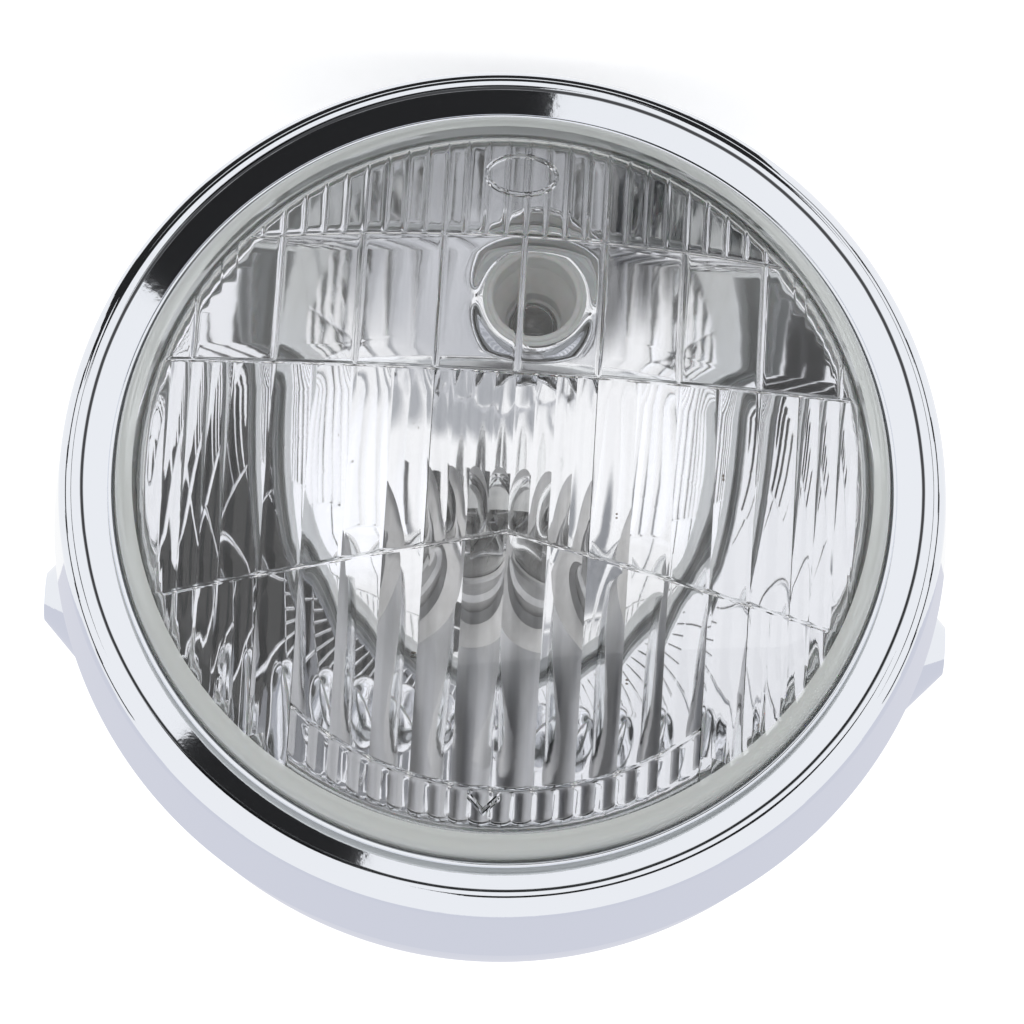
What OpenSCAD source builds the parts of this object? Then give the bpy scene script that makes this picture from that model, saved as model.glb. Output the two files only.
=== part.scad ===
// Motorcycle headlight: a chromed rim with its fluted glass, reflector and bulbs, on a round-backed bucket.
// Every section is drawn in (radius, height), where height runs forward from the rim's foremost ring.
// Before the last turn, x is to the right, y is up to the lamp's top and z is forward.

/* [Lens] */
// Diameter of the glass where it stands in the rim
lens_d = 153.2; // [130:0.2:190]
// Radius of the dome's outer face
dome_r = 430; // [350:5:700]
// How far the middle of the dome stands ahead of the rim
crown = 11; // [9:0.1:16]
// Radius of the rounded shoulder at the edge of the dome
shoulder_r = 5; // [4.6:0.1:7]
// Thickness of the glass
glass_t = 4; // [3:0.1:4.4]
// Width of the flange that the rim clamps
flange_w = 4.4; // [3.5:0.1:4.6]
// Thickness of that flange
flange_t = 3.4; // [2:0.1:4]

/* [Flutes] */
// Pitch of the narrow flutes
narrow_pitch = 4; // [3:0.1:5]
// How far a narrow flute bulges
narrow_bulge = 0.34; // [0.1:0.02:0.5]
// How far a wide flute bulges, which is two narrow pitches wide
wide_bulge = 0.7; // [0.2:0.05:0.9]
// How far a flat pane lies below the ribs around it
pane_depth = 0.35; // [0.1:0.05:0.6]
// Width of the ribs between the panes
pane_rib_w = 0.8; // [0.4:0.1:1.5]
// Width of the raised line left between two zones
line_w = 0.7; // [0.3:0.1:1.5]
// How far that line stands above the flutes
line_h = 0.12; // [0.05:0.01:0.3]
// Margin between the flutes and the edge of the glass
flute_margin = 5.1; // [5.1:0.1:8]
// How far the whole pattern sits to the right of the lamp's axis
pattern_side = -1.4; // [-2:0.1:2]
// Height of the lowest line in the middle of the lens
low_line_y = -51.3; // [-58:0.1:-45]
// Radius of that line, which rises to both sides
low_line_r = 560; // [300:10:1000]
// Height of the straight line above it
mid_line_y = -22; // [-30:0.5:-15]
// Height of the chevron's point
chevron_y = 11; // [5:0.5:20]
// Rise of the chevron's arms
chevron_a = 12.8; // [8:0.1:18]
// Radius of the arc under the top band
top_arc_r = 62; // [58:0.5:63]
// Half the width of the top band
top_half_w = 40; // [32:8:40]

/* [Rim] */
// Thickness of the pressed sheet
rim_t = 1; // [0.8:0.1:1.2]
// Gap around the glass
glass_gap = 0.3; // [0.2:0.05:0.6]
// Radius of the bead at the inner edge
bead_r = 0.65; // [0.55:0.05:0.8]
// Width of the dished band
band_w = 4.7; // [3:0.1:7]
// Slope of the dished band
band_a = 15.6; // [8:0.1:22]
// Radius of the roll outside the band
roll_r = 1.85; // [1.6:0.05:2.4]
// Radius of the skirt's rounded front
nose_r = 4.555; // [3.5:0.1:6]
// How far the skirt's front stands outside the roll's middle
nose_out = 3.9; // [3.5:0.1:5]
// Depth at which the rounded front meets the skirt
nose_depth = 4.3; // [4:0.1:6]
// Depth of the whole rim
rim_depth = 26; // [24:0.5:32]
// Flare of the skirt
flare_a = 5.2; // [2:0.1:6]

/* [Reflector] */
// Thickness of the pressed reflector
mirror_t = 0.8; // [0.6:0.1:1]
// Focal length of the bowl
focal = 28; // [26:0.5:32]
// Width of the reflector's flange
mirror_flange_w = 7.2; // [6.5:0.1:7.6]
// Radius of the neck that the bulb passes through
neck_r = 19.5; // [18:0.1:21]
// Length of the neck behind the bowl
neck_len = 4.5; // [3:0.1:6]
// Thickness of the gasket in front of the glass and of the seal behind it
gasket_t = 0.6; // [0.4:0.1:1]
// Number of spring clips behind the reflector
clips = 6; // [4:1:8]
// Thickness of a spring clip
clip_t = 0.6; // [0.4:0.1:0.8]
// Angle that a spring clip spans
clip_span = 7; // [5:1:10]

/* [Main bulb] */
// How far the bulb's flange reaches over the neck's edge
flange_over = 1.8; // [1:0.1:3]
// Thickness of the bulb's flange
bulb_flange_t = 1.2; // [0.8:0.1:1.6]
// Outer radius of the bulb's glass
bulb_r = 8.6; // [7.5:0.1:9.5]
// Thickness of the bulb's glass
bulb_glass_t = 1; // [0.6:0.1:1.4]
// How far the tip of the glass stands ahead of the focus
tip_ahead = 12.8; // [12.8:0.1:20]
// Length of the bulb's metal collar ahead of its flange
collar_up = 19; // [14:0.5:22]
// Width of the three contact blades
blade_w = 8; // [6:0.1:9]
// Thickness of the contact blades
blade_t = 0.8; // [0.6:0.1:1]
// Length of the contact blades
blade_len = 11; // [9:0.5:13]
// Radius of the plug behind the bulb
plug_r = 15.5; // [15:0.1:17]
// Length of the plug behind the bulb
plug_len = 18.5; // [16:0.5:24]
// Thickness of the rubber boot
boot_t = 1.6; // [1:0.1:2.2]

/* [Pilot bulb] */
// Distance of the pilot bulb below the lamp's axis
pilot_drop = 50.2; // [46:0.1:52]
// Distance of the pilot bulb to the right of the lamp's axis
pilot_side = -4.1; // [-5:0.1:5]
// Radius of the flat seat pressed for it
seat_r = 12.5; // [12.5:0.1:13.5]
// Radius of the hole in the seat
seat_hole_r = 9.2; // [8.8:0.1:9.4]
// Length of the collar drawn backwards around that hole
collar_len = 5.9; // [4:0.1:7]
// Radius of the holder's cup, which grips the collar
holder_r = 11.2; // [11:0.1:12]
// Length of the holder's funnel behind the collar
funnel_len = 7.9; // [6:0.1:9]
// Radius of the socket at the funnel's end
socket_r = 5.8; // [5.5:0.1:6.2]
// Radius of the pilot bulb's glass
pilot_r = 5; // [4.5:0.1:5.1]
// Length of the pilot bulb
pilot_len = 25; // [23:0.5:28]

/* [Bucket] */
// Thickness of the bucket's sheet
bucket_t = 1; // [0.8:0.1:1.4]
// Gap between the bucket and the rim around it
bucket_gap = 0.3; // [0.2:0.05:0.5]
// Depth at which the bucket's edge starts
bucket_start = 15; // [15:0.5:16]
// Length of the bucket's straight part
bucket_straight = 15; // [12:0.5:20]
// Room for wiring behind the plug
wiring_room = 32.5; // [25:0.5:50]
// Radius of the flat on the bucket's back
back_flat_r = 30; // [26:0.5:40]
// Radius of the wiring hole
wire_hole_r = 12; // [10:0.5:15]
// Radius of the bore through the wiring grommet
wire_bore_r = 7; // [5:0.5:8]
// Radius of the drain hole at the bottom
drain_r = 2.5; // [1.5:0.1:3]

/* [Fixings] */
// How far each side boss stands out from the bucket's straight part
boss_out = 5.3; // [4:0.1:14]
// Depth of the side bosses behind the rim's foremost ring
boss_depth = 63; // [58:0.5:66]
// Height of the side bosses above the lamp's axis
boss_y = 11; // [0:0.5:15]
// Diameter of the side bosses
boss_d = 26; // [22:0.5:28]
// Diameter of their flat faces
boss_face_d = 10; // [9.5:0.1:14]
// Length of the cone behind each face
boss_cone = 7.5; // [4:0.5:8]
// Diameter of the thread's core in the side bosses
boss_thread_d = 6.8; // [5:0.1:7.5]
// Thread diameter of the screw that holds the rim
screw_d = 5; // [4:0.5:6]
// Play around the screw in the holes it passes
screw_play = 0.3; // [0.2:0.05:0.5]
// Depth of that screw behind the rim's foremost ring
screw_depth = 20; // [19.5:0.1:21]

/* [Hidden] */
$fn = 96;
// A number longer than any piece, for cutting
far = 400;
// Play between two pieces that slide together
play = 0.15;
// Where the roll starts and ends, counted from straight out
roll_from = 130;
roll_to = 41;
// Where the skirt's rounded front starts
nose_from = 64;

// Glass
lens_r = lens_d / 2;
dome_c = crown - dome_r;
turn_r = lens_r - shoulder_r;
turn_a = asin(turn_r / (dome_r - shoulder_r));
turn_h = dome_c + (dome_r - shoulder_r) * cos(turn_a);
fluted_r = lens_r - flute_margin;
inside_r = dome_r - glass_t;
pattern_a = asin(pattern_side / inside_r);

// Rim
bead_x = lens_r + glass_gap + bead_r;
roll_x = bead_x + bead_r + band_w - roll_r * cos(roll_from);
roll_h = -roll_r;
band_end = [roll_x + roll_r * cos(roll_from), roll_h + roll_r * sin(roll_from)];
bead_h = band_end[1] - band_w * tan(band_a) - bead_r * sin(25);
lip_back = bead_h - bead_r;
nose_c = [roll_x + nose_out - nose_r * cos(flare_a), -nose_depth - nose_r * sin(flare_a)];
nose_end = nose_c + nose_r * [cos(flare_a), sin(flare_a)];

// Clamped stack behind the rim's lip
flange_front = lip_back - gasket_t;
flange_back = flange_front - flange_t;
flange_r = lens_r + flange_w;
mirror_front = flange_back - gasket_t;
mirror_back = mirror_front - mirror_t;

// Reflector
bowl_r = lens_r - glass_t + 1.4;
mirror_flange_r = bowl_r + 1 + mirror_flange_w;
bowl_edge = mirror_front - 0.6;
vertex = bowl_edge - bowl_r * bowl_r / (4 * focal);
focus = vertex + focal;
neck_back = bowl(neck_r) - neck_len - mirror_t;
neck_flange_r = neck_r + 5.5;
pilot_seat = bowl(norm([pilot_side, pilot_drop]));

// Bulb
bulb_flange_r = neck_r + flange_over;
bulb_back = neck_back - bulb_flange_t;
puck_r = 13;
puck_back = bulb_back - 6.6;
plug_front = puck_back - 1;
plug_back = plug_front - plug_len;
blade_places = [[0, 6.4, 0], [8, -1, 90], [-8, -1, 90]];

// Bucket
bucket_r = skirt_inside(bucket_start) - bucket_gap;
bowl_start = bucket_start + bucket_straight;
bucket_depth = wiring_room - plug_back;
back_a = acos(back_flat_r / bucket_r);
bucket_sweep = (bucket_depth - bowl_start) / sin(back_a);
grommet_lip = 2.6;
lamp_back = bucket_depth + grommet_lip + 2;

// Fixings
boss_x = bucket_r + boss_out;
screw_r = screw_d / 2;
head_r = screw_r * 1.76;
head_t = 1.8;
nut_t = 4;

// Height of the bowl's mirror face at a radius
function bowl(r) = vertex + r * r / (4 * focal);
// Outer radius of the rim's skirt at a depth
function skirt_r(depth) = nose_end[0] + (depth + nose_end[1]) * tan(flare_a);
// Inner radius of the skirt at a depth
function skirt_inside(depth) = skirt_r(depth) - rim_t / cos(flare_a);
// Points of an arc around c, from angle a to angle b
function arc(c, r, a, b, n = 8) = [for (i = [0 : n]) c + r * [cos(a + (b - a) * i / n), sin(a + (b - a) * i / n)]];
// The same list from its end to its start
function back_to_front(list) = [for (i = [len(list) - 1 : -1 : 0]) list[i]];
// Radius of a flute that is p wide and bulges by s
function flute_radius(p, s) = (p * p / 4 + s * s) / (2 * s);

// Turns the drawing frame into the lamp's own: the glass faces -Y, and the origin is in the middle
module lamp() {
  translate([0, (lamp_back - crown) / 2 - lamp_back + crown, 0]) rotate([90, 0, 0]) children();
}
// A round piece from its (radius, height) section
module turned() {
  rotate_extrude($fn = 128) children();
}
// A straight round rod between two points
module rod(a, b, r) {
  v = b - a;
  translate(a) rotate([0, acos(v[2] / norm(v)), atan2(v[1], v[0])]) cylinder(h = norm(v), r = r, $fn = 24);
}
// Holes or pins that run sideways, from the axis to the side s at the height of the bosses
module sideways(s, from) {
  translate([s * from, boss_y, -boss_depth]) rotate([0, s * 90, 0]) children();
}
// A hole or pin that runs down from the axis, at the depth of the rim's screw
module downwards(from) {
  translate([0, -from, -screw_depth]) rotate([90, 0, 0]) children();
}

// Rim: one pressed ring of sheet, with a bead, a dished band, a roll and a flared skirt
rim_face = concat(
  arc([bead_x, bead_h], bead_r, 180, 25),
  arc([roll_x, roll_h], roll_r, roll_from, roll_to),
  arc(nose_c, nose_r, nose_from, flare_a),
  [[skirt_r(rim_depth), -rim_depth]]
);
rim_inside = concat(
  arc([bead_x, bead_h], bead_r, 180, 285),
  arc([roll_x, roll_h], roll_r - rim_t, roll_from, roll_to, 4),
  arc(nose_c, nose_r - rim_t, nose_from, flare_a),
  [[skirt_inside(rim_depth), -rim_depth]]
);
module rim() color("silver") lamp() difference() {
  turned() polygon(concat(rim_face, back_to_front(rim_inside)));
  downwards(bucket_r) cylinder(h = 10, r = screw_r + screw_play);
}
module rim_gasket() color("dimgray") lamp() turned()
  translate([lens_r + glass_gap, flange_front]) square([flange_w - glass_gap, gasket_t]);

// Lens: a shallow dome with a rounded shoulder, whose zones of flutes are cut into the inner face
module dome_section(inset) {
  intersection() {
    translate([0, dome_c]) circle(dome_r - inset, $fn = 256);
    polygon([[0, dome_c], [2 * turn_r, dome_c + 2 * turn_r / tan(turn_a)], [0, dome_c + 2 * turn_r / tan(turn_a)]]);
  }
  translate([turn_r, turn_h]) circle(shoulder_r - inset);
  translate([0, flange_back - 1]) square([lens_r - inset, turn_h - flange_back + 1]);
}
module lens_section() {
  difference() {
    union() {
      dome_section(0);
      translate([0, flange_back]) square([flange_r, flange_t]);
    }
    dome_section(glass_t);
    translate([-1, -far]) square([far, far + flange_back]);
    translate([-far, -far]) square([far, 2 * far]);
  }
}
// A cutter's section between the inner face and a level in the glass, drawn in (distance, x) from the dome's centre
module cut_section(depth) {
  intersection() {
    difference() {
      circle(inside_r + depth, $fn = 256);
      circle(inside_r - 2, $fn = 256);
    }
    translate([inside_r / 2, -lens_r]) square([inside_r, 2 * lens_r]);
  }
}
// Swings a cutter's section up and down around the dome's centre
module swung() {
  sweep = 2 * turn_a + 3;
  rotate([0, -90, 0]) rotate([0, 0, -sweep / 2]) rotate_extrude(angle = sweep, $fn = 256) children();
}
// A band of flutes bent to the dome. Each flute is [middle, width, bulge]; what is left over them is cut away
module flute_cutter(flutes) {
  swung() difference() {
    cut_section(2);
    for (f = flutes) {
      r = flute_radius(f[1], f[2]);
      out = inside_r + line_h + r;
      translate([sqrt(out * out - f[0] * f[0]), f[0]]) circle(r);
    }
  }
}
// A band of flat panes with narrow ribs between them
module pane_cutter(pitch) {
  swung() difference() {
    cut_section(pane_depth);
    for (x = [-floor(lens_r / pitch) * pitch : pitch : lens_r])
      translate([inside_r / 2, x - pane_rib_w / 2]) square([inside_r, pane_rib_w]);
  }
}
// Flutes of one width over a stretch of the lens, counted from its middle
function flute_row(from, to, wide) = let(w = wide ? 2 * narrow_pitch : narrow_pitch)
  [for (s = [-1, 1]) for (x = [from : w : to - w + 0.01]) [s * (x + w / 2), w, wide ? wide_bulge : narrow_bulge]];
all_narrow = flute_row(0, lens_r + narrow_pitch, false);
upper_flutes = concat(flute_row(0, 48, true), flute_row(48, lens_r + narrow_pitch, false));
middle_flutes = concat(
  flute_row(0, 16, false), flute_row(16, 56, true), flute_row(56, lens_r + narrow_pitch, false)
);
// Outlines of the zones as seen from the front; gap leaves half a raised line on each side
module above_chevron(gap) {
  y = chevron_y + gap;
  polygon([[0, y], [far, y + far * tan(chevron_a)], [far, far], [-far, far], [-far, y + far * tan(chevron_a)]]);
}
module above(y) {
  translate([-far, y]) square([2 * far, far]);
}
module over_low_line(gap) {
  translate([0, low_line_y + low_line_r]) circle(low_line_r - gap, $fn = 256);
}
module top_band(gap) {
  difference() {
    translate([-top_half_w + gap, 0]) square([2 * (top_half_w - gap), far]);
    circle(top_arc_r + gap);
  }
}
module zone(name) {
  gap = line_w / 2;
  intersection() {
    circle(lens_r);
    if (name == "top") top_band(gap);
    if (name == "upper") difference() {
      above_chevron(gap);
      top_band(-gap);
    }
    if (name == "middle") difference() {
      above(mid_line_y + gap);
      above_chevron(-gap);
    }
    if (name == "lower") difference() {
      over_low_line(gap);
      above(mid_line_y - gap);
    }
    if (name == "bottom") difference() {
      mirror([0, 1]) above(-mid_line_y);
      over_low_line(-gap);
    }
  }
}
module zone_cut(name) {
  translate([0, 0, dome_c]) intersection() {
    translate([0, 0, inside_r - 20]) cylinder(h = 30, r = fluted_r, $fn = 256);
    rotate([0, pattern_a, 0]) translate([0, 0, inside_r - 20]) linear_extrude(height = 30) zone(name);
    rotate([0, pattern_a, 0]) children();
  }
}
module lens() color("lightcyan") lamp() difference() {
  rotate_extrude($fn = 256) lens_section();
  zone_cut("top") flute_cutter(all_narrow);
  zone_cut("upper") flute_cutter(upper_flutes);
  zone_cut("middle") flute_cutter(middle_flutes);
  zone_cut("lower") pane_cutter(4 * narrow_pitch);
  zone_cut("bottom") pane_cutter(narrow_pitch);
}
module lens_seal() color("black") lamp() turned()
  translate([bowl_r + 1.5, mirror_front]) square([flange_r - bowl_r - 1.5, gasket_t]);

// Reflector: a pressed bowl with a flange, a neck for the bulb and a flat seat for the pilot bulb
bowl_steps = 28;
bowl_radii = [for (i = [0 : bowl_steps]) bowl_r + (neck_r - bowl_r) * i / bowl_steps];
// A point of the bowl, moved back by t square to the mirror face
function bowl_point(r, t) = let(k = sqrt(1 + pow(r / (2 * focal), 2)))
  [r + t * r / (2 * focal) / k, bowl(r) - t / k];
bowl_face = [for (r = bowl_radii) bowl_point(r, 0)];
bowl_rear = [for (r = bowl_radii) bowl_point(r, mirror_t)];
mirror_section = concat(
  [[mirror_flange_r, mirror_front], [bowl_r + 0.6, mirror_front]],
  bowl_face,
  [[neck_r, neck_back + mirror_t], [neck_r, neck_back], [neck_flange_r, neck_back],
   [neck_flange_r, neck_back + mirror_t], [neck_r + mirror_t, neck_back + mirror_t],
   [neck_r + mirror_t, bowl(neck_r + mirror_t) - 1.1 * mirror_t]],
  back_to_front([for (p = bowl_rear) if (p[0] > neck_r + mirror_t + 0.3) p]),
  [[bowl_r + 1.4, mirror_back], [mirror_flange_r, mirror_back]]
);
// Everything in front of the bowl's rear face, and everything behind its mirror face
module before_bowl() {
  turned() polygon(concat([[0, 0], [bowl_r, 0]], bowl_rear, [[0, bowl_rear[bowl_steps][1]]]));
}
module behind_bowl() {
  turned() polygon(concat([[0, neck_back], [bowl_r, neck_back]], bowl_face, [[0, bowl(neck_r)]]));
}
module at_pilot(h) {
  translate([pilot_side, -pilot_drop, h]) children();
}
module seat_wall(low, high) {
  at_pilot(low) difference() {
    cylinder(h = high - low, r = seat_r);
    translate([0, 0, -1]) cylinder(h = high - low + 2, r = seat_r - mirror_t);
  }
}
module reflector() color("gainsboro") lamp() {
  difference() {
    turned() polygon(mirror_section);
    at_pilot(-far / 2) cylinder(h = far, r = seat_r - mirror_t / 2);
  }
  intersection() {
    seat_wall(vertex, pilot_seat);
    before_bowl();
  }
  intersection() {
    seat_wall(pilot_seat - mirror_t, mirror_back);
    behind_bowl();
  }
  at_pilot(pilot_seat) turned() polygon([
    [seat_hole_r, 0], [seat_r - mirror_t / 2, 0], [seat_r - mirror_t / 2, -mirror_t],
    [seat_hole_r + mirror_t, -mirror_t], [seat_hole_r + mirror_t, -collar_len], [seat_hole_r, -collar_len],
  ]);
}
// Spring clips: bent strips that stand between the reflector's flange and the rim's wall
clip_leg = 3;
module retaining_clips() color("gray") lamp() {
  foot = bowl_r + 4;
  bend = mirror_flange_r - 0.5;
  step = mirror_flange_r + 1.5;
  web = mirror_back - 3.5;
  wall = skirt_inside(-web - clip_leg) - 0.2;
  for (i = [0 : clips - 1]) rotate([0, 0, 90 + 360 / clips * (i + 0.5) - clip_span / 2])
    rotate_extrude(angle = clip_span) polygon([
      [foot, mirror_back], [bend, mirror_back], [step, web], [wall - clip_t, web],
      [wall - clip_t, web + clip_leg], [wall, web + clip_leg], [wall, web - clip_t],
      [step - 0.3, web - clip_t], [bend - 0.3, mirror_back - clip_t], [foot, mirror_back - clip_t],
    ]);
}

// Main bulb: a round-nosed tube of glass on a flanged metal collar, with two filaments and a shield
glass_front = focus + tip_ahead;
stem_back = neck_back + 2;
module tube_section(r, low, high) {
  intersection() {
    union() {
      translate([0, high - r]) circle(r);
      translate([0, low]) square([r, high - r - low]);
    }
    translate([0, low]) square([r, high - low]);
  }
}
module bulb_glass() color("azure") lamp() turned() difference() {
  tube_section(bulb_r, stem_back, glass_front);
  tube_section(bulb_r - bulb_glass_t, stem_back + 5, glass_front - bulb_glass_t);
}
coil_r = 0.7;
coil_len = 5;
wire_r = 0.35;
shield_r = 4.6;
shield_t = 0.4;
low_coil_y = 1;
high_coil_h = focus;
low_coil_h = focus + coil_len + 2 * wire_r;
shield_y = low_coil_y - 0.5;
module coil(y, h) {
  translate([0, y, h - coil_len / 2]) cylinder(h = coil_len, r = coil_r, $fn = 24);
}
module bulb_filaments() color("dimgray") lamp() {
  coil(0, high_coil_h);
  coil(low_coil_y, low_coil_h);
}
// Wires that carry the coils: one from the stem to each outer end, and a shared one under the shield
module bulb_supports() color("gray") lamp() {
  foot = stem_back + 5;
  side = 4;
  under = shield_y - shield_r - wire_r;
  high_end = high_coil_h - coil_len / 2 - wire_r;
  low_end = low_coil_h + coil_len / 2 + wire_r;
  between = (high_coil_h + low_coil_h) / 2;
  rod([-side, low_coil_y, foot], [-side, low_coil_y, high_end - 2], wire_r);
  rod([-side, low_coil_y, high_end - 2], [0, 0, high_end], wire_r);
  rod([side, low_coil_y, foot], [side, low_coil_y, low_end], wire_r);
  rod([side, low_coil_y, low_end], [0, low_coil_y, low_end], wire_r);
  rod([0, under, foot], [0, under, low_coil_h + 3], wire_r);
  rod([0, under, between], [0, low_coil_y + wire_r, between], wire_r);
}
module bulb_shield() color("silver") lamp()
  translate([0, shield_y, low_coil_h - coil_len / 2 + 0.2]) difference() {
    cylinder(h = coil_len + 1.6, r = shield_r);
    translate([0, 0, -1]) cylinder(h = coil_len + 2.6 - shield_t, r = shield_r - shield_t);
    translate([-far / 2, 0, -far / 2]) cube(far);
  }
module bulb_base() color("silver") lamp() turned() polygon([
  [bulb_r + 0.1, bulb_back], [bulb_flange_r, bulb_back], [bulb_flange_r, neck_back],
  [bulb_r + 4.4, neck_back], [bulb_r + 2.4, neck_back + 2], [bulb_r + 2.4, neck_back + 9],
  [bulb_r + 1.2, neck_back + 10.2], [bulb_r + 1.2, neck_back + collar_up - 0.6],
  [bulb_r + 0.6, neck_back + collar_up], [bulb_r + 0.1, neck_back + collar_up],
]);
module bulb_insulator() color("saddlebrown") lamp() turned() {
  translate([0, puck_back]) square([puck_r, bulb_back - puck_back]);
  translate([0, bulb_back - 0.5]) square([bulb_r, 0.5 + stem_back - bulb_back]);
}
module at_blades() {
  for (p = blade_places) translate([p[0], p[1], 0]) rotate([0, 0, p[2]]) children();
}
module flat_bar(w, t, low, high) {
  translate([-w / 2, -t / 2, low]) cube([w, t, high - low]);
}
module bulb_blades() color("lightgray") lamp() at_blades() flat_bar(blade_w, blade_t, puck_back - blade_len, puck_back);

// Wire clip that presses the bulb's flange onto the neck
clip_wire_r = 0.7;
clip_ring_r = 16.5;
module bulb_clip() color("gray") lamp() {
  ring_h = bulb_back - clip_wire_r;
  hold_h = neck_back - clip_wire_r - 0.1;
  hold_r = neck_flange_r - 0.6;
  translate([0, 0, ring_h]) rotate([0, 0, 110]) rotate_extrude(angle = 320)
    translate([clip_ring_r, 0]) circle(clip_wire_r, $fn = 24);
  for (a = [115, 65, 270]) {
    out = [cos(a), sin(a), 0];
    knee = (bulb_flange_r + 1) * out + [0, 0, ring_h];
    rod(clip_ring_r * out + [0, 0, ring_h], knee, clip_wire_r - 0.05);
    rod(knee, hold_r * out + [0, 0, hold_h], clip_wire_r - 0.1);
  }
}

// Plug with its three sleeves, and the rubber boot over it
sleeve_wall = 0.5;
module bulb_plug() color("ivory") lamp() difference() {
  translate([0, 0, plug_back]) cylinder(h = plug_len, r = plug_r);
  at_blades() flat_bar(
    blade_w + 2 * (sleeve_wall + play) + 0.2, blade_t + 2 * (sleeve_wall + play) + 0.2, plug_back - 1, plug_front + 1);
}
module plug_terminals() color("gold") lamp() at_blades() {
  difference() {
    flat_bar(blade_w + 2 * sleeve_wall + 0.2, blade_t + 2 * sleeve_wall + 0.2, plug_back + 1, plug_front - 0.5);
    flat_bar(blade_w + 0.2, blade_t + 0.2, plug_front - blade_len - 1, plug_front);
  }
  translate([0, 0, plug_back - 5]) difference() {
    cylinder(h = 6, r = 1.15, $fn = 24);
    translate([0, 0, -1]) cylinder(h = 5, r = 0.7, $fn = 24);
  }
}
module bulb_boot() color("black") lamp() turned() {
  grip = neck_flange_r + play;
  shelf = neck_back + mirror_t + play;
  polygon([
    [neck_r + mirror_t + 0.6, shelf], [neck_r + mirror_t + 0.6, shelf + boot_t], [grip + boot_t, shelf + boot_t],
    [grip + boot_t, bulb_back - 2], [plug_r + boot_t + 3, plug_front + 3], [plug_r + boot_t + play, plug_front],
    [plug_r + boot_t + play, plug_back + 4], [plug_r + play, plug_back + 4],
    [plug_r + play, plug_front], [plug_r + 3, plug_front + 3], [grip, bulb_back - 2], [grip, shelf],
  ]);
}

// Pilot bulb: a small wedge bulb in a soft white holder that is pushed over the seat's collar
collar_back = pilot_seat - collar_len;
funnel_back = collar_back - funnel_len;
pilot_tip = funnel_back - 0.5;
pilot_back = pilot_tip - pilot_len;
holder_back = pilot_back - 3;
socket_depth = 4;
base_r = 8.2;
wedge_half = 1.1;
coil_back = 9;
coil_half = 2.4;
fill_up = 8;
module at_contacts(grow) {
  for (s = [-1, 1]) translate([s * 2.6 - 1.2 - grow, wedge_half + 0.1 - grow, holder_back - 6])
    cube([2.4 + 2 * grow, 0.5 + 2 * grow, 12]);
}
module pilot_holder() color("white") lamp() at_pilot(0) difference() {
  turned() polygon([
    [0, holder_back], [base_r, holder_back], [base_r, funnel_back - 1], [holder_r, collar_back - 2],
    [holder_r, pilot_seat - mirror_t - 1], [seat_hole_r + mirror_t + 0.05, pilot_seat - mirror_t - 1],
    [seat_hole_r + mirror_t + 0.05, collar_back - 0.05], [seat_hole_r, collar_back - 0.05],
    [socket_r, funnel_back], [socket_r, funnel_back - socket_depth], [pilot_r + 0.1, funnel_back - socket_depth],
    [pilot_r + 0.1, pilot_back], [0, pilot_back],
  ]);
  at_contacts(0.05);
}
module pilot_bulb() color("azure") lamp() at_pilot(0) difference() {
  turned() difference() {
    tube_section(pilot_r, pilot_back + 0.05, pilot_tip);
    tube_section(pilot_r - 0.7, pilot_back + fill_up, pilot_tip - 0.7);
  }
  for (s = [-1, 1]) translate([0, s * (far / 2 + wedge_half), pilot_back]) cube([far, far, 11], center = true);
}
module pilot_filament() color("dimgray") lamp() at_pilot(pilot_tip - coil_back) {
  rod([-coil_half, 0, 0], [coil_half, 0, 0], 0.3);
  for (s = [-1, 1]) rod([s * coil_half, 0, 0], [s * 1.6, 0, pilot_back + fill_up - pilot_tip + coil_back], 0.3);
}
module pilot_terminals() color("gold") lamp() at_pilot(0) difference() {
  at_contacts(0);
  for (s = [-1, 1]) translate([s * 2.6, 0, holder_back - 4]) rotate([-90, 0, 0]) cylinder(h = 10, r = 0.6, $fn = 24);
}

// Bucket: a spun bowl that slides into the rim's skirt
bucket_steps = 24;
// A point of the bowl-shaped back at angle a, moved inwards by t
function back_point(a, t) = [(bucket_r - t) * cos(a), -bowl_start - (bucket_sweep - t) * sin(a)];
function back_arc(t) = [for (i = [0 : bucket_steps]) back_point(back_a * i / bucket_steps, t)];
inner_flat_r = back_arc(bucket_t)[bucket_steps][0];
inner_flat_h = back_arc(bucket_t)[bucket_steps][1];
module bucket_solid() {
  turned() polygon(concat([[0, -bucket_start], [bucket_r, -bucket_start]], back_arc(0), [[0, -bucket_depth]]));
}
module bucket() color("silver") lamp() difference() {
  turned() polygon(concat(
    [[bucket_r, -bucket_start]], back_arc(0), [[wire_hole_r, -bucket_depth], [wire_hole_r, inner_flat_h]],
    back_to_front(back_arc(bucket_t)), [[bucket_r - bucket_t, -bucket_start]]));
  for (s = [-1, 1]) sideways(s, bucket_r / 2) cylinder(h = far, r = boss_thread_d / 2);
  downwards(bucket_r / 2) cylinder(h = far, r = screw_r + screw_play);
  translate([0, -bucket_r / 2, -bowl_start - 15]) rotate([90, 0, 0]) cylinder(h = far, r = drain_r);
}
// Boss: a turned steel stud with a coned nose, welded to the bucket's side and threaded for the bracket's bolt
module boss(s) {
  difference() {
    sideways(s, bucket_r / 2) {
      cylinder(h = boss_x - bucket_r / 2 - boss_cone, r = boss_d / 2);
      translate([0, 0, boss_x - bucket_r / 2 - boss_cone])
        cylinder(h = boss_cone, r1 = boss_d / 2, r2 = boss_face_d / 2);
    }
    bucket_solid();
    sideways(s, bucket_r / 4) cylinder(h = far, r = boss_thread_d / 2);
  }
}
module left_boss() color("silver") lamp() boss(-1);
module right_boss() color("silver") lamp() boss(1);

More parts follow.
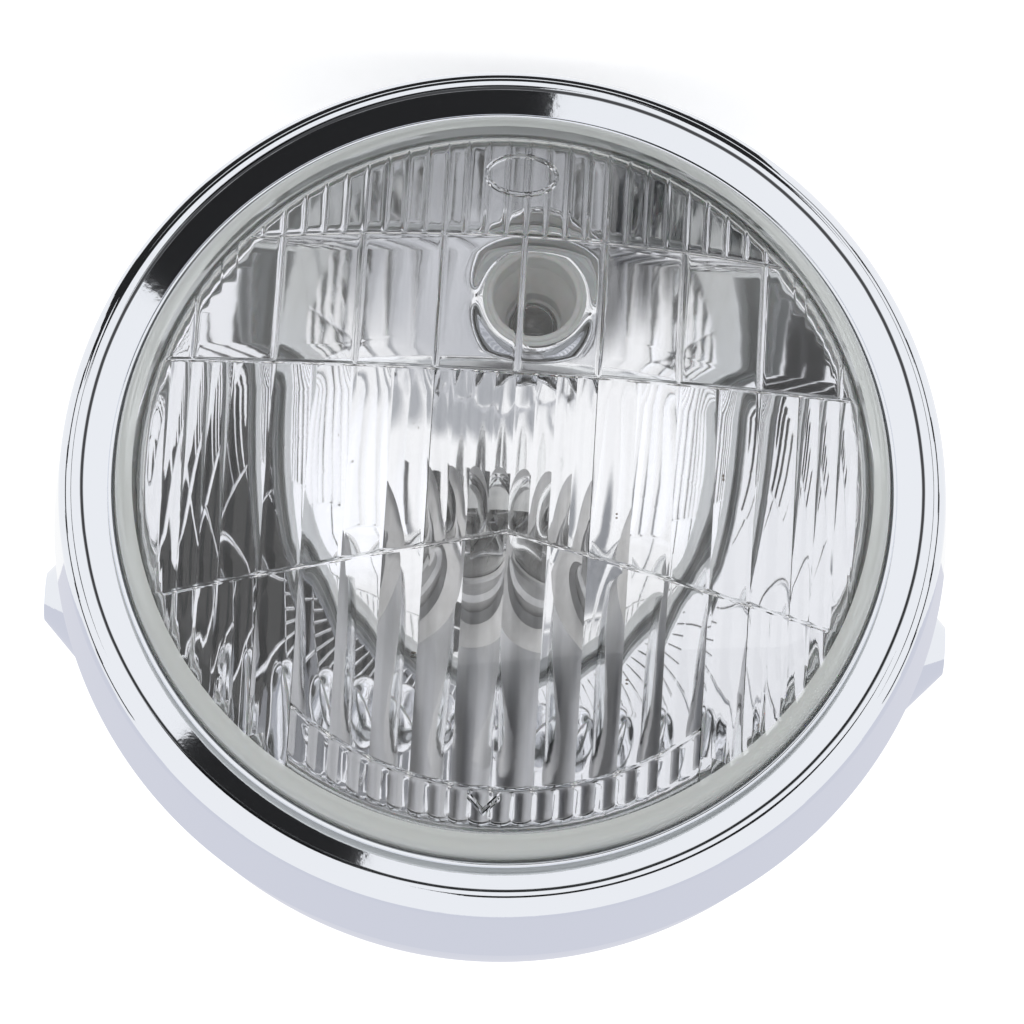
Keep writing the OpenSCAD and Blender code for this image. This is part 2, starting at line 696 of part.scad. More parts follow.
// Hook inside the top of the rim, which catches the bucket's edge
module rim_hook() color("gray") lamp() rotate([0, 0, 84]) rotate_extrude(angle = 12) {
  top = bucket_start - 7;
  low = bucket_start - 1;
  leg = bucket_r - bucket_t - 0.25;
  tip = bucket_start + 8;
  polygon([
    [leg - 1, -tip], [leg - 1, -low + 0.7], [skirt_inside(top) - 1, -low + 3], [skirt_inside(top) - 1, -top],
    [skirt_inside(top) - 0.05, -top], [skirt_inside(low) - 0.05, -low], [leg, -low], [leg, -tip],
  ]);
}
// Screw at the bottom of the rim, whose head is shaped to the skirt, and its nut inside the bucket
module rim_screw() color("silver") lamp() {
  difference() {
    downwards(bucket_r) {
      cylinder(h = skirt_r(screw_depth) + head_t - bucket_r - 0.6, r = head_r);
      translate([0, 0, skirt_r(screw_depth) + head_t - bucket_r - 0.6]) cylinder(h = 0.6, r1 = head_r, r2 = head_r - 0.6);
    }
    turned() polygon(concat([[0, 0]], rim_face, [[0, -rim_depth]]));
    downwards(skirt_r(screw_depth) + head_t - 1) flat_bar(1, 2 * far, 0, 2);
  }
  downwards(bucket_r - bucket_t - nut_t - 2)
    cylinder(h = skirt_r(screw_depth) + 0.5 - bucket_r + bucket_t + nut_t + 2, r = screw_r);
}
module rim_nut() color("gray") lamp() downwards(bucket_r - bucket_t - nut_t - 0.2) difference() {
  cylinder(h = nut_t, r = screw_d * 0.92, $fn = 6);
  translate([0, 0, -1]) cylinder(h = nut_t + 2, r = screw_r + 0.05);
}
module wiring_grommet() color("black") lamp() turned() polygon([
  [wire_bore_r, inner_flat_h + grommet_lip], [wire_hole_r + 1, inner_flat_h + grommet_lip],
  [wire_hole_r + 2.5, inner_flat_h + grommet_lip - 1.2], [wire_hole_r + 2.5, inner_flat_h + 0.05],
  [wire_hole_r - 0.1, inner_flat_h + 0.05], [wire_hole_r - 0.1, -bucket_depth - 0.05],
  [wire_hole_r + 3, -bucket_depth - 0.05], [wire_hole_r + 3, -bucket_depth - 1.5],
  [wire_hole_r + 1.5, -bucket_depth - grommet_lip], [wire_bore_r + 2, -lamp_back], [wire_bore_r, -lamp_back],
]);

rim();
rim_gasket();
lens();
lens_seal();
reflector();
retaining_clips();
bulb_glass();
bulb_filaments();
bulb_supports();
bulb_shield();
bulb_base();
bulb_insulator();
bulb_blades();
bulb_clip();
bulb_plug();
plug_terminals();
bulb_boot();
pilot_holder();
pilot_bulb();
pilot_filament();
pilot_terminals();
bucket();
left_boss();
right_boss();
rim_hook();
rim_screw();
rim_nut();
wiring_grommet();
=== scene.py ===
# %% [markdown]
# # A round motorcycle headlight
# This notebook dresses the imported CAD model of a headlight: a chromed rim around a fluted glass, with an
# aluminised reflector and two bulbs behind it. The CAD model is the frame. Every piece made here stands
# where the CAD says, and either carries a CAD piece's shape on in finer detail or gives it its finish.

# %% Load the frame
import math

import bmesh
import bpy
import numpy as np
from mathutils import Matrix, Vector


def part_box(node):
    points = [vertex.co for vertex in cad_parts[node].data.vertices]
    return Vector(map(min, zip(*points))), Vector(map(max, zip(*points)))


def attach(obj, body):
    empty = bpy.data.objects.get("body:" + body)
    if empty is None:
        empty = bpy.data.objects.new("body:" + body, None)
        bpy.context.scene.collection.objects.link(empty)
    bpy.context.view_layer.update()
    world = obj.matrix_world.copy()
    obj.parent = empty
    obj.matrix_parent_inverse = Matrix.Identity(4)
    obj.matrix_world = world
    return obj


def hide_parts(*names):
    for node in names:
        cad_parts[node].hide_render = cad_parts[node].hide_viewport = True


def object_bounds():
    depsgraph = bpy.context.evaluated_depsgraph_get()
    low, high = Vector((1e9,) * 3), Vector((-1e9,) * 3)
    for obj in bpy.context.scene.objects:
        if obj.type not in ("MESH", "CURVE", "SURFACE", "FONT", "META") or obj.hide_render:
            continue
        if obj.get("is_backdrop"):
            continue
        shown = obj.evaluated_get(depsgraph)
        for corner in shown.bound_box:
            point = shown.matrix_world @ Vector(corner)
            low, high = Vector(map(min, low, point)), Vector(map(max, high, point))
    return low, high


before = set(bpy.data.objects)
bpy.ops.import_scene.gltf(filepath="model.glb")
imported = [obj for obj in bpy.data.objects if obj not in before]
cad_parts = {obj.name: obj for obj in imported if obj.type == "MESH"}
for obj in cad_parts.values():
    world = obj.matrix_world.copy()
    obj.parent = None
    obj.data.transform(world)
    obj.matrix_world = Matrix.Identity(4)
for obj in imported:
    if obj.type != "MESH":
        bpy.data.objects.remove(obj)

cad_box = [list(corner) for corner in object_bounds()]
print("CAD box in metres:", cad_box)

# %% [markdown]
# ## One drawing for all round parts
# A lamp like this is drawn as a section in (radius, ahead), where ahead is measured forward from the
# foremost ring of the rim. One function turns that into the frame, so that every part shares one drawing.

# %% Places
RING_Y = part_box("rim")[0].y * 1000


def in_frame(x, up, ahead):
    """Millimetres to the right, up and ahead of the rim's foremost ring, as the frame's metres. The lamp
    looks along -Y."""
    return np.stack(np.broadcast_arrays(x, RING_Y - ahead, up), axis=-1) / 1000


def arc(centre, radius, start, end, steps):
    """Points of an arc: centre + radius (cos a, sin a), with a from start to end in degrees."""
    a = np.radians(np.linspace(start, end, steps))
    return np.array(centre) + radius * np.stack([np.cos(a), np.sin(a)], axis=-1)


print("foremost ring at y =", RING_Y, "mm")

# %% [markdown]
# ## From arrays to pieces
# A surface is a grid of points. Neighbours in the grid share a quad, and where the grid closes on itself
# the last row meets the first. Merging the doubles closes seams and poles, and the sign of the volume
# says whether the faces look outwards.

# %% Grids and pieces


def grid_quads(rows, columns, wrap_rows=False, wrap_columns=False):
    """The quads of a grid of rows by columns: each joins a point, the next across, the next down and
    across, and the next down."""
    i = np.arange(rows if wrap_rows else rows - 1)[:, None]
    j = np.arange(columns if wrap_columns else columns - 1)[None, :]
    below, beside = (i + 1) % rows, (j + 1) % columns
    corners = (i * columns + j, i * columns + beside, below * columns + beside, below * columns + j)
    return np.stack(np.broadcast_arrays(*corners), axis=-1).reshape(-1, 4)


def join(*parts):
    """Several (points, quads) as one, with the corner numbers of each counted on from the parts before
    it."""
    counts = np.cumsum([0] + [len(points) for points, quads in parts[:-1]])
    return (
        np.concatenate([points for points, quads in parts]),
        np.concatenate([quads + n for (points, quads), n in zip(parts, counts)]),
    )


def facing(net, way):
    """The net of points and quads, turned so that most of its area looks along way."""
    points, quads = net
    a, b, c, d = (points[quads[:, i]] for i in range(4))
    return points, quads if (np.cross(c - a, d - b) @ np.array(way)).sum() > 0 else quads[:, ::-1]


AHEAD, BEHIND = (0, -1, 0), (0, 1, 0)


def piece(name, points, quads, material, slot, nodes=(), crease=30, skin=None):
    """Makes a piece of points in metres and quads. A closed shape is turned by its volume, and an open
    skin so that it looks along the direction skin."""
    mesh = bpy.data.meshes.new(name)
    mesh.from_pydata(points.tolist(), [], quads.tolist())
    shape = bmesh.new()
    shape.from_mesh(mesh)
    bmesh.ops.remove_doubles(shape, verts=shape.verts, dist=3e-7)
    bmesh.ops.dissolve_degenerate(shape, edges=shape.edges, dist=1e-7)
    shape.normal_update()
    if skin is None:
        inside_out = shape.calc_volume(signed=True) < 0
    else:
        normals = np.array([f.normal * f.calc_area() for f in shape.faces])
        inside_out = normals.sum(0) @ np.array(skin) < 0
    if inside_out:
        bmesh.ops.reverse_faces(shape, faces=shape.faces)
    shape.to_mesh(mesh)
    shape.free()
    mesh.shade_smooth()
    mesh.set_sharp_from_angle(angle=math.radians(crease))
    mesh.materials.append(material)
    made = bpy.data.objects.new(name, mesh)
    bpy.context.scene.collection.objects.link(made)
    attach(made, "root")
    if nodes:
        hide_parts(*nodes)
    print(f"{name}: {len(mesh.vertices)} points, {len(mesh.polygons)} faces")
    return made


def held_flat(profile, margin=0.05):
    """The profile with a point just inside both ends of each straight stretch, so that smooth shading
    stays at the bends."""
    out = [profile[0]]
    for a, b in zip(profile[:-1], profile[1:]):
        length = np.linalg.norm(b - a)
        if length > 4 * margin:
            step = (b - a) * margin / length
            out += [a + step, b - step]
        out.append(b)
    return np.array(out)


def turned(profile, columns=256, wrap=True, centre=(0, 0)):
    """A section turned around an axis: x = cx + r sin a, up = cy + r cos a."""
    a = np.linspace(0, 2 * np.pi, columns, endpoint=False)
    r, ahead = profile[:, :1], profile[:, 1:]
    points = in_frame(centre[0] + r * np.sin(a), centre[1] + r * np.cos(a), ahead + 0 * a)
    return points.reshape(-1, 3), grid_quads(len(profile), columns, wrap, True)


# %% [markdown]
# ## How the finishes are written
# A finish is a small tree of nodes around one Principled shader. Colours are written as the hex values
# that a paint chart gives and turned to the linear values that the renderer works in. Patterns read the
# Object coordinates, in metres, so their scale follows from the size of the real grain.

# %% Colour and node helpers


def linear(code):
    """An sRGB hex colour as linear red, green, blue and alpha."""
    parts = np.array([int(code[i:i + 2], 16) for i in (1, 3, 5)]) / 255
    return (*np.where(parts <= 0.04045, parts / 12.92, ((parts + 0.055) / 1.055) ** 2.4), 1.0)


def add(tree, kind, links=(), **settings):
    """Adds a node. Settings whose names start with a capital go to its inputs (_ stands for a space),
    others to the node itself, and links maps an input's name or number to the output that feeds it."""
    node = tree.nodes.new(kind)
    for name, value in settings.items():
        if name[0].isupper():
            node.inputs[name.replace("_", " ")].default_value = value
        else:
            setattr(node, name, value)
    for name, output in dict(links).items():
        tree.links.new(output, node.inputs[name])
    return node


def finish_of(name, **settings):
    """A material with one Principled shader, and its tree and shader."""
    material = bpy.data.materials.new(name)
    material.use_nodes = True
    tree = material.node_tree
    shader = next(n for n in tree.nodes if n.type == "BSDF_PRINCIPLED")
    for key, value in settings.items():
        shader.inputs[key.replace("_", " ")].default_value = value
    return material, tree, shader


def per_metre(millimetres):
    """The scale at which a noise or wave pattern repeats about once in so many millimetres."""
    return 1000 / millimetres


# %% [markdown]
# ## Finishes
# Chrome plating is nearly all mirror: a bright grey with a hint of blue. Its character is the shape that
# it reflects, and the faint orange peel of the polished steel below it, which breaks up the edges of
# reflections.

# %% Chromed steel


def grain(tree, shader, size, depth, roughness=None, detail=2.0):
    """Noise of a size in mm as bump of a depth in mm, and, if given, as roughness between two values."""
    where = add(tree, "ShaderNodeTexCoord").outputs["Object"]
    noise = add(tree, "ShaderNodeTexNoise", {"Vector": where}, Scale=per_metre(size), Detail=detail)
    bump = add(tree, "ShaderNodeBump", {"Height": noise.outputs["Fac"]}, Distance=depth / 1000)
    tree.links.new(bump.outputs["Normal"], shader.inputs["Normal"])
    if roughness:
        low, high = roughness
        spread = add(tree, "ShaderNodeMapRange", {"Value": noise.outputs["Fac"]}, To_Min=low, To_Max=high)
        tree.links.new(spread.outputs["Result"], shader.inputs["Roughness"])
    return noise


CHROME_COLOUR, CHROME_ROUGHNESS = linear("#e9ecf2"), 0.04
ORANGE_PEEL = {"size": 1.4, "depth": 0.004}
chrome, tree, shader = finish_of(
    "chrome_plated_steel", Base_Color=CHROME_COLOUR, Metallic=1.0, Roughness=CHROME_ROUGHNESS)
grain(tree, shader, **ORANGE_PEEL)

# %% [markdown]
# Pressed glass is clear, but its edge is not: the mould's wall leaves it dull, and light that has run
# through the thickness comes out pale and faintly green. So the glass has two finishes, one for the clear
# dome and one for its edge. Near the top and the bottom the mould left two raised marks, a plain oval and
# a plain arrowhead, which are only bumps: they show because they bend what is behind them.

# %% Pressed glass


def math_node(tree, operation, a, b=0.0, clamp=False):
    """The output of a Math node whose two values are outputs or numbers."""
    node = add(tree, "ShaderNodeMath", operation=operation, use_clamp=clamp)
    for k, value in enumerate((a, b)):
        if isinstance(value, (int, float)):
            node.inputs[k].default_value = value
        else:
            tree.links.new(value, node.inputs[k])
    return node.outputs[0]


def radius_from(tree, x, z, centre, half=(1.0, 1.0)):
    """sqrt(((x - cx) / a)^2 + ((z - cz) / b)^2) of two outputs in metres; the centre and the halves a and
    b are in mm."""
    sides = [math_node(tree, "MULTIPLY", math_node(tree, "SUBTRACT", value, c / 1000), 1000 / h)
             for value, c, h in zip((x, z), centre, half)]
    squares = [math_node(tree, "MULTIPLY", side_, side_) for side_ in sides]
    return math_node(tree, "SQRT", math_node(tree, "ADD", *squares))


glass, tree, shader = finish_of(
    "pressed_glass", Base_Color=linear("#ffffff"), Roughness=0.0, IOR=1.5, Transmission_Weight=1.0)
where = add(tree, "ShaderNodeTexCoord").outputs["Object"]
xyz = add(tree, "ShaderNodeSeparateXYZ", {"Vector": where}).outputs
# a few specks of dust that stick to the glass, each (x, z) and (half width, half height) in mm
DUST = [((15.3, 38.9), (0.55, 0.3)), ((-43.1, -1.0), (0.25, 0.35)),
        ((-22.6, 8.6), (0.22, 0.22)), ((-26.4, 41.5), (0.3, 0.2))]
dust = 0.0
for centre, half in DUST:
    near = math_node(tree, "LESS_THAN", radius_from(tree, xyz["X"], xyz["Z"], centre, half), 1.0)
    dust = math_node(tree, "MAXIMUM", near, dust)
with_dust = add(tree, "ShaderNodeMix", {"Factor": dust}, data_type="RGBA")
with_dust.inputs["A"].default_value = linear("#ffffff")
with_dust.inputs["B"].default_value = linear("#4a3f36")
tree.links.new(with_dust.outputs["Result"], shader.inputs["Base Color"])
# the marks, in mm: an oval line, and an arrowhead |z - tip + |x|| that ends at a half width
OVAL_CENTRE, OVAL_HALF, OVAL_SHARPNESS = (0, -62.4), (7.0, 4.3), 18.0
ARROW_TIP, ARROW_HALF, ARROW_SHARPNESS = 68.5, 3.2, 2.2
MARK_HEIGHT = 0.25
oval = math_node(tree, "ABSOLUTE", math_node(tree, "SUBTRACT", radius_from(
    tree, xyz["X"], xyz["Z"], OVAL_CENTRE, OVAL_HALF), 1.0))
oval_line = math_node(tree, "SUBTRACT", 1.0, math_node(tree, "MULTIPLY", oval, OVAL_SHARPNESS), True)
off_side = math_node(tree, "ABSOLUTE", math_node(tree, "MULTIPLY", xyz["X"], 1000.0))
over = math_node(tree, "SUBTRACT", math_node(tree, "MULTIPLY", xyz["Z"], 1000.0), ARROW_TIP)
roof = math_node(tree, "ABSOLUTE", math_node(tree, "ADD", over, off_side))
arrow_line = math_node(tree, "SUBTRACT", 1.0, math_node(tree, "MULTIPLY", roof, ARROW_SHARPNESS), True)
arrow_line = math_node(tree, "MULTIPLY", arrow_line, math_node(tree, "LESS_THAN", off_side, ARROW_HALF))
mark = math_node(tree, "ADD", oval_line, arrow_line)
mark_bump = add(tree, "ShaderNodeBump", {"Height": mark}, Distance=MARK_HEIGHT / 1000)
tree.links.new(mark_bump.outputs["Normal"], shader.inputs["Normal"])

dull_edge, tree, shader = finish_of(
    "dull_edge_of_pressed_glass", Base_Color=linear("#fbfffd"), Roughness=0.12, IOR=1.5,
    Transmission_Weight=0.42)
grain(tree, shader, size=3, depth=0.01)

# %% [markdown]
# The rim's chrome is the same plating, with shade painted into its two creases, beside the glass and at the
# foot of the roll: its base colour goes nearly black there, which draws the band's two fine outlines.

# %% Chrome of the rim, with painted shade in its creases
# each band of painted crease shade as its radius, half width and darkness, and how far it wanders, all but
# the darkness in mm
PAINTED_CREASE_SHADE = ((83.3, 0.42, 0.93), (77.25, 0.35, 0.75))
WANDER, WANDER_SIZE = 0.3, 18
rim_chrome_with_painted_shade, tree, shader = finish_of("chrome_plated_rim_with_painted_crease_shade", Metallic=1.0, Roughness=CHROME_ROUGHNESS)
grain(tree, shader, **ORANGE_PEEL)
where = add(tree, "ShaderNodeTexCoord").outputs["Object"]
xyz = add(tree, "ShaderNodeSeparateXYZ", {"Vector": where}).outputs
from_axis = radius_from(tree, xyz["X"], xyz["Z"], (0, 0))
wander = add(
    tree, "ShaderNodeTexNoise", {"Vector": where}, Scale=per_metre(WANDER_SIZE), Detail=4.0).outputs["Fac"]
from_axis = math_node(tree, "ADD", from_axis, math_node(tree, "MULTIPLY", wander, WANDER))
crease_shade = 0.0
for middle, half, dark in PAINTED_CREASE_SHADE:
    off = math_node(tree, "ABSOLUTE", math_node(tree, "SUBTRACT", from_axis, middle))
    line = add(tree, "ShaderNodeMapRange", {"Value": off}, interpolation_type="SMOOTHSTEP",
               From_Min=half, From_Max=0.4 * half, To_Max=dark).outputs["Result"]
    crease_shade = math_node(tree, "MAXIMUM", line, crease_shade)
# painted shade: the base colour goes from the chrome's colour to nearly black along both creases
plating_with_painted_shade = add(tree, "ShaderNodeMix", {"Factor": crease_shade}, data_type="RGBA")
plating_with_painted_shade.inputs["A"].default_value, plating_with_painted_shade.inputs["B"].default_value = CHROME_COLOUR, linear("#0e0e10")
tree.links.new(plating_with_painted_shade.outputs["Result"], shader.inputs["Base Color"])

# %% [markdown]
# The reflector is steel under clear lacquer, with aluminium coated on it in a vacuum: nearly a perfect
# mirror, whose lacquer has run in slow waves. The bulbs are thin hard glass.

# %% Mirror and bulb glass
mirror, tree, shader = finish_of(
    "aluminised_lacquered_steel", Base_Color=linear("#f6f7fa"), Metallic=1.0, Roughness=0.03)
grain(tree, shader, size=9, depth=0.01)

bulb_glass, tree, shader = finish_of(
    "hard_bulb_glass", Base_Color=linear("#fbfcfc"), Roughness=0.0, IOR=1.47, Transmission_Weight=1.0)
grain(tree, shader, size=2.5, depth=0.006)

# %% [markdown]
# The other metals are stamped, drawn or turned and then plated. Each has its own colour, and a fine grain
# that changes its roughness from place to place, so that it never looks like one flat tone. The plastics
# and rubbers get a moulded skin: a soft bump and a colour that clouds a little.

# %% Other metals, plastics and rubbers


def clouded(tree, shader, size, low, high):
    """Clouds the base colour between two sRGB colours with a noise of a size in mm."""
    where = add(tree, "ShaderNodeTexCoord").outputs["Object"]
    noise = add(tree, "ShaderNodeTexNoise", {"Vector": where}, Scale=per_metre(size), Detail=3.0)
    ramp = add(tree, "ShaderNodeValToRGB", {"Fac": noise.outputs["Fac"]})
    ramp.color_ramp.elements[0].position, ramp.color_ramp.elements[1].position = 0.35, 0.65
    ramp.color_ramp.elements[0].color, ramp.color_ramp.elements[1].color = linear(low), linear(high)
    tree.links.new(ramp.outputs["Color"], shader.inputs["Base Color"])


def plain_finish(name, colours, cloud, size, depth, roughness, **settings):
    """A finish whose colour is clouded and whose grain gives both bump and roughness; sizes and depth are
    in mm."""
    material, tree, shader = finish_of(name, **settings)
    clouded(tree, shader, cloud, *colours)
    grain(tree, shader, size, depth, roughness)
    return material


silicone = plain_finish("white_silicone_rubber", ("#efefec", "#f8f8f6"), 4, 0.6, 0.004, (0.42, 0.55),
                        Subsurface_Weight=0.15, Subsurface_Scale=0.002)
tungsten = plain_finish("drawn_tungsten_wire", ("#7b7a79", "#98969a"), 1, 0.2, 0.002, (0.3, 0.42),
                        Metallic=1.0)
plated = plain_finish("nickel_plated_steel", ("#d0d0d0", "#dededf"), 5, 0.5, 0.002, (0.3, 0.42),
                      Metallic=1.0)
phenolic = plain_finish("moulded_phenolic_resin", ("#3f2417", "#56331f"), 3, 0.4, 0.006, (0.32, 0.5))
brass = plain_finish("stamped_brass", ("#bd9748", "#d0ad63"), 4, 0.5, 0.003, (0.22, 0.36), Metallic=1.0)
nylon = plain_finish("moulded_nylon", ("#ddd6c4", "#e6e1d2"), 6, 0.5, 0.005, (0.38, 0.5))
rubber = plain_finish("moulded_black_rubber", ("#151516", "#202022"), 5, 0.4, 0.01, (0.48, 0.65))
spring = plain_finish("bright_spring_steel", ("#aeb0b3", "#c2c4c7"), 4, 0.3, 0.002, (0.18, 0.32),
                      Metallic=1.0)
zinc = plain_finish("zinc_plated_steel", ("#b7bbba", "#ced1d0"), 2.5, 0.6, 0.003, (0.22, 0.38), Metallic=1.0)

# %% Give the CAD nodes their finishes
FINISH_OF_NODE = {
    rim_chrome_with_painted_shade: ["rim"],
    chrome: ["bucket", "left_boss", "right_boss", "rim_screw"],
    glass: ["lens"],
    mirror: ["reflector"],
    bulb_glass: ["bulb_glass", "pilot_bulb"],
    silicone: ["pilot_holder", "lens_seal", "rim_gasket"],
    tungsten: ["bulb_filaments", "bulb_supports", "pilot_filament"],
    plated: ["bulb_base", "bulb_shield"],
    phenolic: ["bulb_insulator"],
    brass: ["bulb_blades", "plug_terminals", "pilot_terminals"],
    nylon: ["bulb_plug"],
    rubber: ["bulb_boot", "wiring_grommet"],
    spring: ["retaining_clips", "bulb_clip"],
    zinc: ["rim_hook", "rim_nut"],
}
for material, names in FINISH_OF_NODE.items():
    for name in names:
        for material_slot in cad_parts[name].material_slots:
            material_slot.link = "OBJECT"
            material_slot.material = material

# %% [markdown]
# ## Rim
# The rim is one pressed ring: a bead against the glass, a dished band, a roll that stands furthest forward,
# and a flared skirt that runs back over the bucket.

# %% Rim
LENS_R = 76.6
BEAD_X, BEAD_H, BEAD_R = 77.55, -2.02, 0.65
ROLL_X, ROLL_R = 84.09, 1.85
NOSE, NOSE_R = (83.45, -4.713), 4.555
FLARE = 5.2
COS_FLARE, SIN_FLARE = math.cos(math.radians(FLARE)), math.sin(math.radians(FLARE))
RIM_T, RIM_DEPTH = 1.0, 26.0


def skirt_r(depth):
    """Radius of the skirt's outside at a depth: it flares evenly from the end of its rounded front."""
    end_x, end_h = NOSE[0] + NOSE_R * COS_FLARE, NOSE[1] + NOSE_R * SIN_FLARE
    return end_x + (depth + end_h) * math.tan(math.radians(FLARE))


face = np.concatenate([
    arc((BEAD_X, BEAD_H), BEAD_R, 180, 25, 14), arc((ROLL_X, -ROLL_R), ROLL_R, 130, 41, 16),
    arc(NOSE, NOSE_R, 64, FLARE, 20), [[skirt_r(RIM_DEPTH), -RIM_DEPTH]],
])
back = np.concatenate([
    arc((BEAD_X, BEAD_H), BEAD_R, 180, 285, 8), arc((ROLL_X, -ROLL_R), ROLL_R - RIM_T, 130, 41, 6),
    arc(NOSE, NOSE_R - RIM_T, 64, FLARE, 8),
    [[skirt_r(RIM_DEPTH) - RIM_T / COS_FLARE, -RIM_DEPTH]],
])
piece("rim_ring", *turned(np.concatenate([held_flat(face), held_flat(back)[:0:-1]]), 384),
      rim_chrome_with_painted_shade, "chromed_steel", ["rim"])

# %% [markdown]
# ## Glass
# The glass is a shallow dome whose inner face is moulded with flutes: half-round bars that spread the light
# sideways. They lie in zones, parted by fine raised lines. The inner face is one height map over a round
# outline. Its columns follow the flutes and its rows follow the lines between the zones, so that every edge
# of a flute falls on an edge of the mesh.

# %% Zones of the inner face
DOME_R, CROWN, GLASS_T = 430.0, 11.0, 4.0
DOME_C = CROWN - DOME_R
INSIDE_R = DOME_R - GLASS_T
SHOULDER_R = 5.0
WALL_R = LENS_R - GLASS_T
FLANGE_R, FLANGE_FRONT, FLANGE_BACK = 81.0, -3.27, -6.67
NARROW, WIDE = (4.0, 0.34), (8.0, 0.7)
LINE_H = 0.12
PANE_DEPTH, BEAD_HALF = 0.35, 0.6
FACE_R = WALL_R - 0.35
FILLET_R, FILLET_DEPTH = 6.0, 0.95
PATTERN_X, PATTERN_Y = -1.4, 1.9


def flutes(x, kind):
    """Depth of half-round flutes below their crests: R - sqrt(R^2 - d^2), where d is the distance from the
    flute's middle."""
    width, bulge = kind
    radius = (width ** 2 / 4 + bulge ** 2) / (2 * bulge)
    d = (x / width - np.floor(x / width) - 0.5) * width
    return LINE_H + radius - np.sqrt(radius ** 2 - d ** 2)


def bead(d):
    """Share of the full depth beside a raised line: w^2 (3 - 2 w), where w grows from 0 to 1 over
    BEAD_HALF."""
    w = np.clip(np.abs(d) / BEAD_HALF, 0, 1)
    return w ** 2 * (3 - 2 * w)


def panes(x, pitch):
    """Depth of flat panes: PANE_DEPTH, less on the rounded ribs between them."""
    return PANE_DEPTH * bead(x - np.round(x / pitch) * pitch)


cell = np.array([0, 0.16, 0.32, 0.48, 0.8, 1.2, 1.6, 2.0, 2.4, 2.8, 3.2, 3.52, 3.68, 3.84])
x = (4 * np.arange(-18, 19)[:, None] + cell).ravel() + PATTERN_X
x = x[np.abs(x) < FACE_R - 0.5]
ends = FACE_R * np.cos(np.radians(np.linspace(0, 6.4, 9)))
x = np.sort(np.concatenate([x, ends, -ends]))
edge = np.sqrt(np.maximum(FACE_R ** 2 - x ** 2, 0))
edge[[0, -1]] = 0
u = x - PATTERN_X
side = np.abs(u)
lines = [
    -51.3 + 560 - np.sqrt(560 ** 2 - u ** 2),
    -22 + 0 * u,
    11 + side * math.tan(math.radians(12.8)),
    np.where(side < 40, np.sqrt(np.maximum(62 ** 2 - u ** 2, 0)), 99.0),
]
lines = [line + PATTERN_Y for line in lines]
zone_depths = [
    panes(u, 4.0),
    panes(u, 16.0),
    np.where((side > 16) & (side < 56), flutes(u, WIDE), flutes(u, NARROW)),
    np.where(side < 48, flutes(u, WIDE), flutes(u, NARROW)),
    flutes(u, NARROW),
]
print(len(x), "columns")

# %% Inner face, rows by columns


def zone_rows(low, high, steps):
    """Rows from a line to the next: low + (high - low) t, for each t in steps."""
    return low + (high - low) * np.array(steps)[:, None]


even = np.linspace(0, 1, 9)
to_edge = np.sin(np.linspace(0, np.pi / 2, 16))
beside = np.array([0.42, 0.28, 0.14])[:, None]
ys, depths = [], []
bounds_up = [-edge] + lines + [edge]
for k, depth in enumerate(zone_depths):
    low = bounds_up[k] + (BEAD_HALF if k else 0)
    high = bounds_up[k + 1] - (BEAD_HALF if k < 4 else 0)
    steps = 1 - to_edge[::-1] if k == 0 else to_edge if k >= 3 else even
    rows = zone_rows(low, np.maximum(high, low), steps)
    ys.append(rows)
    depths.append(np.broadcast_to(depth, rows.shape))
    if k < 4:
        line, after = bounds_up[k + 1], zone_depths[k + 1]
        ys += [line - beside, line + 0 * beside[:1], line + beside[::-1]]
        depths += [depth * bead(beside), 0 * depth[None, :], after * bead(beside[::-1])]
y = np.clip(np.concatenate(ys), -edge, edge)
depth = np.concatenate(depths)
radius_2 = x ** 2 + y ** 2
fluted = DOME_C + np.sqrt((INSIDE_R + depth) ** 2 - radius_2)

# the fillet: a circle that touches the wall and a sphere a little inside the glass
ball = INSIDE_R + FILLET_DEPTH
fillet_x = WALL_R - FILLET_R
fillet_h = DOME_C + math.sqrt((ball - FILLET_R) ** 2 - fillet_x ** 2)
touch_r = fillet_x * ball / (ball - FILLET_R)
r = np.sqrt(radius_2)
shoulder = np.where(
    r < touch_r,
    DOME_C + np.sqrt(ball ** 2 - radius_2),
    fillet_h + np.sqrt(np.maximum(FILLET_R ** 2 - (r - fillet_x) ** 2, 0)),
)
height = np.minimum(fluted, shoulder)
inner = in_frame(x, y, height)
print("inner face", inner.shape)

# %% The rest of the glass, turned along the inner face's outline
outline = np.concatenate([
    np.stack([x, -edge], -1), np.stack([x, edge], -1)[::-1],
])
bearing = np.arctan2(outline[:, 1], outline[:, 0])
turn_x = LENS_R - SHOULDER_R
turn = math.degrees(math.asin(turn_x / (DOME_R - SHOULDER_R)))
turn_h = DOME_C + (DOME_R - SHOULDER_R) * math.cos(math.radians(turn))
start = math.degrees(math.acos((FACE_R - fillet_x) / FILLET_R))
clamped = [[WALL_R, FLANGE_BACK], [FLANGE_R, FLANGE_BACK], [FLANGE_R, FLANGE_FRONT], [LENS_R, FLANGE_FRONT]]
section = np.concatenate([
    arc((fillet_x, fillet_h), FILLET_R, start, 0, 5),
    held_flat(np.array(clamped)),
    arc((turn_x, turn_h), SHOULDER_R, 0, 90 - turn, 12),
    arc((0, DOME_C), DOME_R, 90 - turn, 90, 11)[1:],
])
around = in_frame(
    section[:, :1] * np.cos(bearing), section[:, :1] * np.sin(bearing), section[:, 1:] + 0 * bearing)
lens = piece(
    "lens_glass",
    *join(facing((inner.reshape(-1, 3), grid_quads(*inner.shape[:2])), BEHIND),
          facing((around.reshape(-1, 3), grid_quads(len(section), len(bearing), False, True)), AHEAD)),
    glass, "lens_glass", ["lens"], crease=33)
lens.data.materials.append(dull_edge)
CLEAR_R = WALL_R + 0.4
middles = np.zeros(3 * len(lens.data.polygons))
